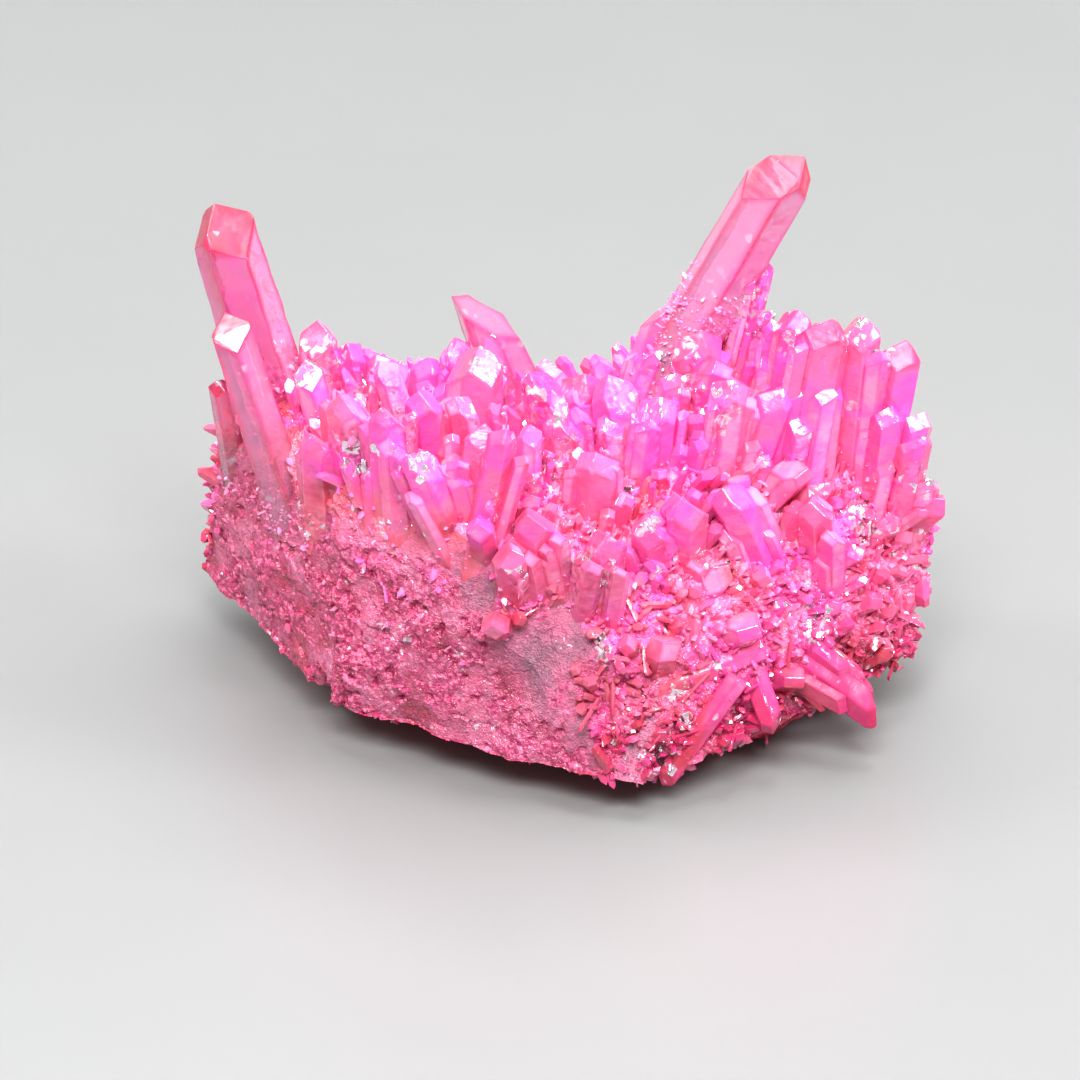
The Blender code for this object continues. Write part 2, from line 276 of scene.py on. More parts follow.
def noise_of(tree, place, size_mm, detail=3.0, roughness=0.55):
    """Noise with features about this many millimetres across, from 0 to 1."""
    return node(
        tree, "ShaderNodeTexNoise",
        {"Vector": place, "Scale": 1000.0 / size_mm, "Detail": detail, "Roughness": roughness},
    ).outputs["Fac"]


def bumped(tree, height, distance_mm, strength=1.0):
    """A surface direction tilted as if this height, from 0 to 1, stood up by so many millimetres."""
    settings = {"Strength": strength, "Distance": distance_mm * MM, "Height": height}
    return node(tree, "ShaderNodeBump", settings).outputs["Normal"]


def new_group(name, inputs, outputs):
    """A shader node group from its inputs' names and values and its outputs' names and kinds. Gives back its
    tree, what it is given and where its results go."""
    group = bpy.data.node_groups.new(name, "ShaderNodeTree")
    for label, value in inputs.items():
        kind = "NodeSocketFloat" if isinstance(value, float) else "NodeSocketVector"
        made = group.interface.new_socket(name=label, in_out="INPUT", socket_type=kind)
        made.default_value = value
    for label, kind in outputs.items():
        group.interface.new_socket(name=label, in_out="OUTPUT", socket_type=kind)
    given = group.nodes.new("NodeGroupInput").outputs
    return group, given, group.nodes.new("NodeGroupOutput").inputs


def use_group(tree, group, **inputs):
    """Places a node group in a material and gives its outputs. An input's name has _ for its spaces."""
    inputs = {label.replace("_", " "): value for label, value in inputs.items()}
    return node(tree, "ShaderNodeGroup", inputs, node_tree=group).outputs


# Flat tilted facets, one to a cell, so that each cell catches the light its own way.
flat_facets, given, results = new_group(
    "flat facets", {"Vector": (0.0, 0.0, 0.0), "Cells per metre": 2000.0}, {"Height": "NodeSocketFloat"}
)
scaled = node(
    flat_facets, "ShaderNodeVectorMath", {0: given["Vector"], "Scale": given["Cells per metre"]},
    operation="SCALE",
).outputs[0]
cells = node(flat_facets, "ShaderNodeTexVoronoi", {"Vector": scaled, "Scale": 1.0})
tilt = node(
    flat_facets, "ShaderNodeVectorMath", {0: cells.outputs["Color"], 1: (0.5, 0.5, 0.5)},
    operation="SUBTRACT",
).outputs[0]
offset = node(
    flat_facets, "ShaderNodeVectorMath", {0: scaled, 1: cells.outputs["Position"]}, operation="SUBTRACT"
).outputs[0]
height = node(flat_facets, "ShaderNodeVectorMath", {0: offset, 1: tilt}, operation="DOT_PRODUCT")
flat_facets.links.new(height.outputs["Value"], results["Height"])

# The coating's colour: it drifts over the piece and within each crystal, and each crystal has a shade of its
# own. Faces turned up towards the lamps are painted darker in green and blue, a painted shade that evens out
# their lighting. Edges, and on the rock its hollows, are painted deeper, and low down the colour is painted
# darker and redder in patches: painted shade. A face's turn also tints it a little, a painted sheen. In
# clusters of flecks it mirrors like metal.
FLECK_COLOUR = (1.0, 0.88, 0.96, 1.0)
FLECKS_PER_METRE = 1000.0
aura, given, results = new_group(
    "aura coating",
    {"Vector": (0.0, 0.0, 0.0), "Normal": (0.0, 0.0, 1.0), "Drift": 0.4, "Sparkle": 0.0, "Shade": 0.5,
     "Edge": 0.0, "Tip": 0.0, "Broken": 0.0},
    {"Color": "NodeSocketColor", "Metallic": "NodeSocketFloat"},
)
turned_to_lamps = node(
    aura, "ShaderNodeVectorMath", {0: given["Normal"], 1: (-0.45, -0.25, 0.86)}, operation="DOT_PRODUCT"
).outputs["Value"]
cloudy = noise_of(aura, given["Vector"], 4.2, 2.0, 0.6)
# A face's turn tints the colour a little: a painted sheen in place of the coating's own.
lie = maths(aura, "MULTIPLY_ADD", turned_to_lamps, 0.03, maths(aura, "MULTIPLY_ADD", cloudy, 1.0, -0.48))
lie = maths(aura, "MULTIPLY_ADD", given["Shade"], 0.12, lie)
lie = maths(aura, "ADD", given["Drift"], lie, clamp=True)
body = ramp(
    aura, lie, (0.16, (1.0, 0.17, 0.42)), (0.30, (1.0, 0.28, 0.57)), (0.42, (1.0, 0.30, 0.60)),
    (0.53, (1.0, 0.20, 0.57)), (0.66, (1.0, 0.14, 0.56)), (0.86, (0.98, 0.28, 0.61)),
)
# The deeper colour laid along the points' edges and in the rock's hollows is painted shade.
painted_deep_shade = ramp(
    aura, lie, (0.30, (1.0, 0.08, 0.28)), (0.52, (1.0, 0.08, 0.44)), (0.72, (0.98, 0.08, 0.53)),
)
colour = mix(aura, given["Edge"], body, painted_deep_shade)
# Faces turned up towards the lamps are painted darker in green and blue: painted shade that evens out their
# lighting.
painted_shade_on_lit_faces = spread(aura, turned_to_lamps, 0.2, 0.95, 0.0, 1.0)
colour = mix(aura, painted_shade_on_lit_faces, colour, (1.0, 0.80, 0.66, 1.0), "MULTIPLY")
colour = mix(aura, given["Tip"], colour, (0.95, 0.03, 0.14, 1.0))
salmon = ramp(
    aura, cloudy, (0.32, (0.62, 0.05, 0.12)), (0.44, (0.86, 0.12, 0.20)), (0.58, (0.92, 0.20, 0.30)),
    (0.70, (0.80, 0.17, 0.32)),
)
colour = mix(aura, given["Broken"], colour, salmon)
# Lower down the colour is painted darker and redder in patches: painted shade.
height = node(aura, "ShaderNodeSeparateXYZ", {0: given["Vector"]}).outputs[2]
low = maths(aura, "MULTIPLY_ADD", cloudy, 1.2, spread(aura, height, 23 * MM, 8 * MM, -0.6, 0.5))
low = maths(aura, "MULTIPLY", low, spread(aura, height, 25 * MM, 18 * MM, 0.0, 1.0), clamp=True)
colour = mix(aura, low, colour, (0.55, 0.24, 0.30, 1.0), "MULTIPLY")
cells = node(aura, "ShaderNodeTexVoronoi", {"Vector": given["Vector"], "Scale": FLECKS_PER_METRE})
clustered = noise_of(aura, given["Vector"], 2.6, 1.0, 0.6)
likely = maths(aura, "MULTIPLY_ADD", clustered, 0.9, given["Sparkle"])
fleck = spread(aura, maths(aura, "MULTIPLY", likely, cells.outputs["Color"]), 0.55, 0.61, 0.0, 1.0)
aura.links.new(mix(aura, fleck, colour, FLECK_COLOUR), results["Color"])
aura.links.new(maths(aura, "MULTIPLY_ADD", fleck, 0.92, 0.03), results["Metallic"])

# Bare rock is mauve and smooth in zones and dark pink and grainy in others, and greyer along the ridge. Its
# hollows are painted darker, as painted shade, and faces turned down are painted deep red, as painted shade
# and a painted pink glow of light through the quartz. Above, the coating covers it.
rock_material, tree, surface = new_material("milky broken quartz")
place = node(tree, "ShaderNodeTexCoord").outputs
patch = noise_of(tree, place["Object"], 6.0, 3.0, 0.6)
speckle = noise_of(tree, place["Object"], 0.7, 2.0, 0.65)
smooth_colour = ramp(
    tree, patch, (0.28, (0.62, 0.085, 0.19)), (0.44, (0.52, 0.105, 0.22)), (0.54, (0.50, 0.060, 0.155)),
    (0.62, (0.30, 0.012, 0.055)), (0.76, (0.62, 0.060, 0.14)),
)
ridge_colour = ramp(
    tree, patch, (0.36, (0.19, 0.060, 0.105)), (0.47, (0.34, 0.080, 0.16)), (0.58, (0.46, 0.080, 0.18)),
)
smooth_colour = mix(tree, attribute(tree, "ridge"), smooth_colour, ridge_colour)
grainy_colour = ramp(
    tree, speckle, (0.34, (0.22, 0.005, 0.040)), (0.45, (0.38, 0.010, 0.09)), (0.55, (0.58, 0.030, 0.16)),
    (0.66, (0.84, 0.16, 0.33)),
)
grain_share = maths(tree, "MULTIPLY", attribute(tree, "grain"), 0.80)
broken_colour = mix(tree, grain_share, smooth_colour, grainy_colour)
# Hollows are painted darker: painted shade.
hollow_shade_share = maths(tree, "MULTIPLY_ADD", attribute(tree, "hollow"), 1.4, -0.55, clamp=True)
broken_colour = mix(tree, hollow_shade_share, broken_colour, (0.40, 0.010, 0.06, 1.0))
# Faces turned down are painted deep red: painted shade with a painted pink glow of light through the quartz.
broken_colour = mix(tree, attribute(tree, "under"), broken_colour, (0.75, 0.015, 0.07, 1.0))
# The coating on the rock is also painted deeper in its hollows: painted shade.
coated = use_group(
    tree, aura, Vector=place["Object"], Normal=place["Normal"], Drift=attribute(tree, "drift"),
    Sparkle=attribute(tree, "sparkle"), Shade=0.25,
    Edge=maths(tree, "MULTIPLY", attribute(tree, "hollow"), 0.7), Broken=attribute(tree, "upper"),
)
# The surface mirrors only at flecks on speckled grains. On coated rock the other flecks stay white without
# mirroring: painted glints.
speck = maths(tree, "MULTIPLY", coated["Metallic"], spread(tree, speckle, 0.58, 0.64, 0.0, 1.0))
broken_colour = mix(tree, speck, broken_colour, FLECK_COLOUR)
tree.links.new(speck, surface.inputs["Metallic"])
bare = attribute(tree, "bare")
tree.links.new(mix(tree, bare, coated["Color"], broken_colour), surface.inputs["Base Color"])
dusty = spread(tree, speckle, 0.3, 0.7, 0.12, 0.5)
dusty = maths(tree, "MULTIPLY_ADD", attribute(tree, "ridge"), 0.35, dusty)
tree.links.new(dusty, surface.inputs["Roughness"])
glitter = use_group(tree, flat_facets, Vector=place["Object"], Cells_per_metre=2300.0)["Height"]
grit = maths(tree, "ADD", glitter, noise_of(tree, place["Object"], 0.25, 1.0, 0.7))
tree.links.new(bumped(tree, grit, 0.24), surface.inputs["Normal"])
surface.inputs["IOR"].default_value = QUARTZ_IOR
surface.inputs["Specular IOR Level"].default_value = 0.9
rock.data.materials.append(rock_material)
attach(rock, "root")
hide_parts("aura_quartz_cluster")

# The points
# Six-sided quartz points that grew out of the rock, each cut to a tip by sloping faces, where the solid has
# them. Clear ones are one mesh and milky ones another. Finer points, blades and slimmer side crystals, all
# milky, fill the gaps between them.
#
# Each large point's root and tip in millimetres, its width, its taper, its turn in degrees, and how far down
# its leading tip face is cut, as a share of its width.
LARGE_POINTS = {
    "left tower": ((-35.8, 17.6, 32), (-42.5, 17, 61.2), 10.6, 0.80, 0, 0.12),
    "left sister": ((-34.6, 6, 27), (-41.2, 9.5, 50.5), 7.0, 0.84, 10, 0.15),
    "left stub": ((-41.0, 14, 26), (-42.4, 12.6, 39.2), 3.6, 0.80, 25, 0.2),
    "rim 1": ((-30.3, 17, 34), (-30.7, 17.5, 44.6), 5.4, 0.85, 5, 0.3),
    "rim 2": ((-25.9, 17, 33), (-27.0, 16.5, 42.2), 4.7, 0.85, 20, 0.1),
    "rim 3": ((-21.6, 14, 32), (-23.1, 14, 42.2), 5.0, 0.9, 12, 0.3),
    "rim 4": ((-18.0, 12, 32), (-17.1, 12, 42.8), 4.7, 0.85, 0, 0.1),
    "column 1": ((-29.6, -0.5, 27), (-29.9, -3.6, 42.2), 5.4, 0.88, 14, 0.4),
    "column 2": ((-25.6, -2.0, 29), (-26.3, -4.0, 47.6), 5.7, 0.90, 3, 0.3),
    "column 3": ((-21.0, -7.0, 30), (-21.5, -8.2, 48.6), 5.4, 0.90, 22, 0.3),
    "column 4": ((-16.3, 0.8, 29), (-17.5, -1.5, 46.4), 5.4, 0.88, 8, 0.2),
    "petal": ((-13.6, -10.0, 29), (-18.4, -12.6, 45.0), 5.8, 0.84, 16, 0.35),
    "horn left": ((-12.3, 13, 33), (-13.8, 13.5, 44.6), 4.8, 0.82, 10, 0.3),
    "horn": ((-5.2, 14, 32), (-13.9, 15.5, 54.8), 9.8, 0.40, 60, 0.9),
    "horn front": ((-12.2, 6.5, 29), (-11.3, 8.5, 47.0), 7.8, 0.88, 0, 0.2),
    "sparkle": ((-1.0, 2.0, 27), (-3.7, 1.0, 48.4), 6.4, 0.90, 28, 0.5),
    "middle 1": ((0.6, 6.0, 29), (1.6, 5.5, 44.8), 7.3, 0.88, 0, 0.15),
    "middle 2": ((0.4, 1.0, 28), (-1.6, -1.0, 43.4), 6.4, 0.85, 18, 0.25),
    "middle 3": ((-11.6, -12.6, 27), (-7.6, -14.2, 49.2), 4.7, 0.82, 6, 0.2),
    "middle 4": ((-12.2, -9.2, 28), (-10.3, -9.0, 46.4), 5.2, 0.86, 20, 0.1),
    "middle 5": ((-9.6, -11.8, 28), (-10.9, -18.2, 38.4), 4.0, 0.90, 10, 0.1),
    "middle 6": ((2.0, -6.6, 26), (3.4, -8.4, 43.0), 6.4, 0.88, 4, 0.3),
    "middle 7": ((8.8, -0.2, 29), (10.5, -1.4, 45.6), 6.1, 0.90, 0, 0.1),
    "middle 8": ((6.2, 2.4, 29), (4.9, 2.6, 46.2), 6.6, 0.88, 24, 0.3),
    "tower back": ((13.6, 9.2, 36), (15.6, 7.6, 49.8), 7.6, 0.86, 10, 0.2),
    "tower left": ((7.5, 9.5, 36), (11.6, 12, 50.2), 5.4, 0.86, 20, 0.2),
    "tower side": ((19.5, 11, 40), (22.8, 13, 56.0), 4.2, 0.86, 10, 0.3),
    "right tower": ((10.2, 10, 39), (27.0, 15.0, 69.8), 8.6, 0.92, 75, 0.42),
    "middle 9": ((17.0, 1.5, 29), (18.8, 0.0, 47.2), 6.1, 0.90, 2, 0.15),
    "middle 10": ((20.4, 2.6, 29), (25.0, 1.6, 45.8), 6.1, 0.88, 15, 0.3),
    "glint": ((25.4, 11.6, 34), (22.2, 11.6, 49.6), 3.0, 0.92, 28, 0.4),
    "right 0": ((23.6, 8.0, 30), (26.7, 9.5, 51.2), 5.4, 0.86, 30, 0.2),
    "right 1": ((26.2, 4.0, 27), (30.4, 4.0, 54.2), 7.8, 0.84, 6, 0.3),
    "right 2": ((32.6, 6.0, 28), (34.2, 6.6, 51.8), 6.4, 0.86, 20, 0.15),
    "right 3": ((36.4, 6.4, 27), (39.6, 7.4, 48.8), 7.4, 0.84, 0, 0.2),
    "right 4": ((38.4, 3.0, 22), (41.2, 2.4, 39.4), 6.4, 0.72, 12, 0.5),
    "right 5": ((38.4, 4.0, 22), (45.0, 1.4, 29.8), 5.4, 0.80, 30, 0.2),
    "face 1": ((12.6, -6.6, 22), (13.4, -11.2, 38.0), 6.4, 0.90, 8, 0.25),
    "face 2": ((23.6, -4.6, 21), (17.9, -8.6, 37.4), 5.9, 0.88, 20, 0.15),
    "face 3": ((9.6, -8.0, 23), (8.9, -13.6, 35.8), 5.2, 0.86, 0, 0.2),
    "face 4": ((3.0, -13.0, 21), (4.2, -17.6, 36.8), 5.8, 0.86, 12, 0.15),
    "face 5": ((-3.0, -12.0, 25), (-4.8, -16.0, 38.8), 5.8, 0.88, 25, 0.25),
    "face 6": ((29.8, -2.2, 19), (28.6, -6.8, 34.4), 5.4, 0.84, 8, 0.2),
    "low 1": ((27.0, -8.0, 13), (38.6, -13.2, 6.2), 5.6, 0.92, 0, 0.6),
    "low 2": ((17.4, -17.4, 12), (10.4, -21.6, 3.0), 3.2, 0.88, 10, 0.2),
    "low 3": ((21.0, -11.8, 15), (24.4, -17.8, 7.6), 3.8, 0.86, 16, 0.2),
    "lying": ((19.0, -13.8, 16), (8.0, -18.2, 13.6), 3.4, 0.80, 5, 0.3),
}
TIP_FACE_ANGLE = math.radians(51.8)
CLEAR = ("left tower", "left sister", "left stub", "horn", "right tower")
# How far up each is crusted, as a share of its length, and how red its tip is, where that is known.
CRUST_HEIGHTS = {
    "left tower": 0.36, "left sister": 0.24, "left stub": 0.2, "horn": 0.42, "right tower": 0.56,
}
RED_TIPS = {
    "left tower": 0.95, "left sister": 0.85, "right tower": 0.9, "horn": 0.1, "right 1": 0.8, "right 3": 0.8,
}
RING_STEP = 2 * MM
SMALL_POINTS = 156
FINER_TRIES = 3600
BLADES = 110
SIDE_CRYSTALS = 7
# What every corner of a point carries: its distance from the tip in millimetres, the point's shade, how near
# an edge it is, how red its tip face is, whether it hugs the bare face, how thick the crust is, and the
# coating's drift and flecks.
POINT_LAYERS = ("below_tip", "shade", "edge", "tip", "foot", "druse", "drift", "sparkle")


def quartz_point(root, tip, width, taper, turn, setbacks, flatness, bevel=0.0, shade=0.5, crusted=0.5, red=0.0):
    """A closed six-sided prism from root to tip, cut to a point by sloping faces, with softened edges. Each
    setback is one face, and a face with a larger one is cut further down. None leaves its side without one."""
    length = (tip - root).length
    made = bmesh.new()
    bmesh.ops.create_cone(
        made, cap_ends=True, segments=6, radius1=width / 2, radius2=width * taper / 2,
        depth=length * 1.1, matrix=Matrix.Translation((0, 0, length * 0.55)),
    )
    bmesh.ops.scale(made, vec=(1.0, flatness, 1.0), verts=made.verts[:])
    for side, setback in enumerate(setbacks):
        if setback is None:
            continue
        around = 2 * math.pi * (side + 0.5) / 6
        slope = Vector((math.cos(around), math.sin(around), 1 / math.tan(TIP_FACE_ANGLE))).normalized()
        bmesh.ops.bisect_plane(
            made, geom=made.verts[:] + made.edges[:] + made.faces[:],
            plane_co=(0, 0, length - setback * width), plane_no=slope, clear_outer=True,
        )
        rim = [e for e in made.edges if e.is_boundary]
        if rim:
            bmesh.ops.contextual_create(made, geom=rim)
    bmesh.ops.recalc_face_normals(made, faces=made.faces[:])
    broad = []
    if bevel:
        bmesh.ops.bevel(made, geom=made.edges[:], offset=bevel, segments=1, profile=0.5, affect="EDGES")
        broad = [f for f in made.faces if min(e.calc_length() for e in f.edges) > 0.18 * width]
        bmesh.ops.inset_individual(made, faces=broad, thickness=0.08 * width, use_even_offset=True)
    layers = {name: made.verts.layers.float.new(name) for name in POINT_LAYERS}
    for face in made.faces:
        face.normal_update()
        for vert in face.verts:
            vert[layers["tip"]] = max(vert[layers["tip"]], red if face.normal.z > 0.35 else 0.0)
    for face in broad:
        for vert in face.verts:
            vert[layers["edge"]] = -1.0
    for ring in range(1, int(length / RING_STEP) if bevel > 0.1 * MM else 0):
        whole = made.verts[:] + made.edges[:] + made.faces[:]
        bmesh.ops.bisect_plane(made, geom=whole, plane_co=(0, 0, ring * RING_STEP), plane_no=(0, 0, 1))
    # Insetting and cutting leave the faces in another order each run, and the druse's random spots follow it.
    made.verts.index_update()
    corners = len(made.verts)
    made.faces.sort(key=lambda face: face.verts[0].index * corners + face.verts[1].index)
    top = max(v.co.z for v in made.verts)
    for vert in made.verts:
        vert.co += 0.018 * width * noise.noise_vector(vert.co / (2.2 * MM) + 9 * root / MM)
    for vert in made.verts:
        vert[layers["below_tip"]] = (top - vert.co.z) / MM
        vert[layers["shade"]] = shade
        vert[layers["edge"]] += 1.0
        vert[layers["druse"]] = (crusted - vert.co.z / top) * 6
    upright = (tip - root).to_track_quat("Z", "Y").to_matrix().to_4x4()
    made.transform(Matrix.Translation(root) @ upright @ Matrix.Rotation(turn, 4, "Z"))
    return made


def join_points(name, points):
    """One mesh object from many small bmeshes."""
    joined = bmesh.new()
    for layer in POINT_LAYERS:
        joined.verts.layers.float.new(layer)
    carrier = bpy.data.meshes.new(name)
    for made in points:
        made.to_mesh(carrier)
        made.free()
        joined.from_mesh(carrier)
    foot, drift, sparkle = (joined.verts.layers.float[layer] for layer in ("foot", "drift", "sparkle"))
    for vert in joined.verts:
        vert[drift], vert[sparkle] = coating_at(vert.co)
        near, outwards = surface_tree.find_nearest(vert.co)[:2]
        hugging = smoothstep(5.0 * MM, 1.0 * MM, (vert.co - near).length)
        hugging *= smoothstep(39 * MM, 34 * MM, vert.co.z)
        vert[foot] = hugging * smoothstep(0.35, 0.6, outwards.dot(BARE_FACE))
    joined.to_mesh(carrier)
    joined.free()
    made = bpy.data.objects.new(name, carrier)
    scene.collection.objects.link(made)
    return made


def tip_faces(chance, leading, small_too):
    """Three large tip faces, the leading one first, and between them three small ones or none."""
    setbacks = []
    for setback in (leading, chance.uniform(0.0, 0.1), chance.uniform(0.0, 0.1)):
        setbacks += [setback, -chance.uniform(0.06, 0.16) if small_too else None]
    return setbacks


def nearest_gap(place, width, taken):
    """The distance to the nearest point's long axis, as a share of the two widths together."""
    gaps = []
    for root, tip, size in taken:
        near = intersect_point_line(place, root, tip)[0]
        gaps.append((place - near).length / (width + size))
    return min(gaps)


def any_place(chance, faces, areas):
    """A random spot on the coarse rock, and how it faces."""
    face = chance.choices(faces, areas)[0]
    corners = [v.co for v in face.verts]
    share = sorted((chance.random(), chance.random()))
    place = corners[0] * share[0] + corners[1] * (share[1] - share[0]) + corners[2] * (1 - share[1])
    return place, face.normal.copy()


def growth_direction(chance, place, normal):
    """Points grow away from the rock and upwards, and spread outwards towards its ends."""
    outwards = Vector((place.x, place.y * 0.8, 0.0)) / (45 * MM)
    jitter = Vector([chance.gauss(0, 0.22) for axis in range(3)])
    grown = (normal * 0.75 + Vector((0, 0, 0.75)) + outwards * 0.5 + jitter).normalized()
    if grown.dot(normal) < 0.35:
        grown = (grown + normal * 0.6).normalized()
    return grown


def reach_of(place, width, share):
    """How far a small point stands out: more the higher it is, and less along the back."""
    reach = width * share * (0.8 + max(0.0, place.z - 15 * MM) / (25 * MM))
    return reach * (0.6 if place.y > 13 * MM else 1.0)


# The first run of chance is the solid's own, so that the same points come out. The second is for looks alone,
# and so is the third, for the faces' slight unevenness.
chance = random.Random(13)
looks = random.Random(5)
noise.seed_set(5)
clear, milky, taken = [], [], []
for name, (root, tip, width, taper, turn, leading) in LARGE_POINTS.items():
    root, tip, width = Vector(root) * MM, Vector(tip) * MM, width * MM
    taken.append((root, tip, width))
    root = root - (tip - root).normalized() * 4.0 * MM
    setbacks = tip_faces(chance, leading, small_too=width > 4.5 * MM)
    flatness = chance.uniform(0.86, 1.0)
    made = quartz_point(
        root, tip, width, taper, math.radians(turn), setbacks, flatness, 0.14 * MM, looks.random(),
        CRUST_HEIGHTS.get(name, 0.5), RED_TIPS.get(name, looks.uniform(0.0, 0.5)),
    )
    (clear if name in CLEAR else milky).append(made)

surface_tree = BVHTree.FromBMesh(ground)
growing = [f for f in ground.faces if f.normal.z > -0.25 and f.normal.y < 0.6]
growing = [f for f in growing if f.normal.dot(BARE_FACE) < 0.72]
growing_areas = [f.calc_area() for f in growing]
count = 0
while count < SMALL_POINTS:
    place = any_place(chance, growing, growing_areas)[0]
    if place.z < 7 * MM or not -37 * MM < place.x < 40.5 * MM:
        continue
    width = 1.9 * MM + 3.5 * MM * chance.random() ** 2
    if nearest_gap(place, width, taken) < 0.36:
        count += 0.01
        continue
    normal = surface_tree.find_nearest(place)[1]
    grown = growth_direction(chance, place, normal)
    reach = reach_of(place, width, chance.uniform(0.7, 1.2))
    root, tip = place - grown * 2.5 * MM, place + grown * reach
    taken.append((root, tip, width))
    turn = chance.uniform(0, math.pi)
    setbacks = tip_faces(chance, chance.uniform(0.1, 0.5), small_too=False)
    taper, flatness = chance.uniform(0.75, 0.95), chance.uniform(0.7, 1.0)
    milky.append(
        quartz_point(root, tip, width, taper, turn, setbacks, flatness, 0.08 * MM, looks.random())
    )
    count += 1

# Finer points fill the gaps that are left, blades lie across the lower right, and slimmer points stand
# against the flanks of the larger.
for attempt in range(FINER_TRIES):
    place, normal = any_place(looks, growing, growing_areas)
    width = MM * (0.7 + 1.9 * looks.random() ** 2.2)
    if place.z < 6 * MM or nearest_gap(place, width, taken) < 0.34:
        continue
    grown = growth_direction(looks, place, normal)
    low_down = smoothstep(34 * MM, 24 * MM, place.z)
    grown = (grown + low_down * Vector([looks.gauss(0, 0.45) for axis in range(3)])).normalized()
    reach = reach_of(place, width, looks.uniform(0.6, 1.7))
    root, tip = place - grown * 1.5 * MM, place + grown * reach
    taken.append((root, tip, width))
    setbacks = tip_faces(looks, looks.uniform(0.1, 0.6), small_too=False)
    milky.append(quartz_point(
        root, tip, width, looks.uniform(0.7, 0.95), looks.uniform(0, 3.1), setbacks,
        looks.uniform(0.4, 1.0), shade=looks.random(),
    ))
blades = 0
while blades < BLADES:
    place, normal = any_place(looks, growing, growing_areas)
    if not (place.z < 31 * MM or looks.random() < 0.2) or place.z < 7 * MM or place.y > 15 * MM:
        continue
    lying = normal.cross(Vector([looks.gauss(0, 1) for axis in range(3)])).normalized()
    lying = (lying + normal * looks.uniform(0.05, 0.5)).normalized()
    length, width = looks.uniform(1.4, 4.0) * MM, looks.uniform(0.4, 0.9) * MM
    root, tip = place - lying * 1.0 * MM, place + normal * 0.4 * MM + lying * length
    if abs(tip.x) > 44 * MM:
        continue
    setbacks = tip_faces(looks, looks.uniform(0.1, 0.6), small_too=False)
    milky.append(quartz_point(
        root, tip, width, 0.9, looks.uniform(0, 3.1), setbacks, looks.uniform(0.3, 0.8), shade=looks.random(),
    ))
    blades += 1
for name, (root, tip, width, taper, turn, leading) in LARGE_POINTS.items():
    if width < 4.2 or name in CLEAR:
        continue
    root, tip, width = Vector(root) * MM, Vector(tip) * MM, width * MM
    axis = (tip - root).normalized()
    sideways = axis.orthogonal().normalized()
    for side in range(SIDE_CRYSTALS):
        spin = Matrix.Rotation(looks.uniform(0, 2 * math.pi), 3, axis)
        slim = width * looks.uniform(0.35, 0.75)
        foot = root + spin @ sideways * (width * 0.50 - slim * 0.15)
        near, outwards = surface_tree.find_nearest(foot)[:2]
        if (foot - near).dot(outwards) > -1.0 * MM:
            continue
        lean = (axis + Vector([looks.gauss(0, 0.05) for number in range(3)])).normalized()
        top = foot + lean * (tip - root).length * looks.uniform(0.5, 0.92)
        setbacks = tip_faces(looks, looks.uniform(0.1, 0.5), small_too=False)
        milky.append(
            quartz_point(foot, top, slim, 0.9, math.radians(turn), setbacks, 0.9, 0.05 * MM, looks.random())
        )

clear_points = join_points("clear_points", clear)
milky_points = join_points("milky_points", milky)
ground.free()

# Fine steps across a prism's faces, as quartz has, and a little unevenness.
growth_lines, given, results = new_group(
    "growth lines", {"Vector": (0.0, 0.0, 0.0), "Below tip": 0.0, "Shade": 0.5},
    {"Height": "NodeSocketFloat"},
)
along = maths(growth_lines, "MULTIPLY", given["Shade"], 90.0)
along = maths(growth_lines, "MULTIPLY_ADD", given["Below tip"], 2.6, along)
steps = node(
    growth_lines, "ShaderNodeTexNoise", {"W": along, "Scale": 1.0, "Detail": 2.0}, noise_dimensions="1D"
)
steps = maths(growth_lines, "MULTIPLY", steps.outputs["Fac"], 0.4)
uneven = noise_of(growth_lines, given["Vector"], 1.6, 1.0, 0.6)
growth_lines.links.new(maths(growth_lines, "MULTIPLY_ADD", uneven, 2.6, steps), results["Height"])
COATING_IOR = 1.8


def point_looks(tree, surface, smoothest, roughest):
    """What clear and milky points share: the coating, redder on a large point's tip faces, and frosted
    patches. Gives back the object coordinates, the coating's outputs and the growth lines' height."""
    place = node(tree, "ShaderNodeTexCoord").outputs
    below_tip, shade = attribute(tree, "below_tip"), attribute(tree, "shade")
    # The coating is painted deeper along the points' edges: painted shade.
    coating = use_group(
        tree, aura, Vector=place["Object"], Normal=place["Normal"], Drift=attribute(tree, "drift"),
        Sparkle=attribute(tree, "sparkle"), Shade=shade,
        Edge=maths(tree, "MULTIPLY", attribute(tree, "edge"), 0.7), Tip=attribute(tree, "tip"),
        Broken=attribute(tree, "foot"),
    )
    frost = noise_of(tree, place["Object"], 2.4, 1.0, 0.6)
    frost = spread(tree, frost, 0.42, 0.72, smoothest, roughest)
    frost = maths(tree, "MULTIPLY_ADD", attribute(tree, "tip"), 0.3, frost)
    tree.links.new(frost, surface.inputs["Roughness"])
    lines = use_group(tree, growth_lines, Vector=place["Object"], Below_tip=below_tip, Shade=shade)
    return place["Object"], coating, lines["Height"]


clear_material, tree, surface = new_material("clear pink quartz")
place, coating, lines = point_looks(tree, surface, 0.01, 0.12)
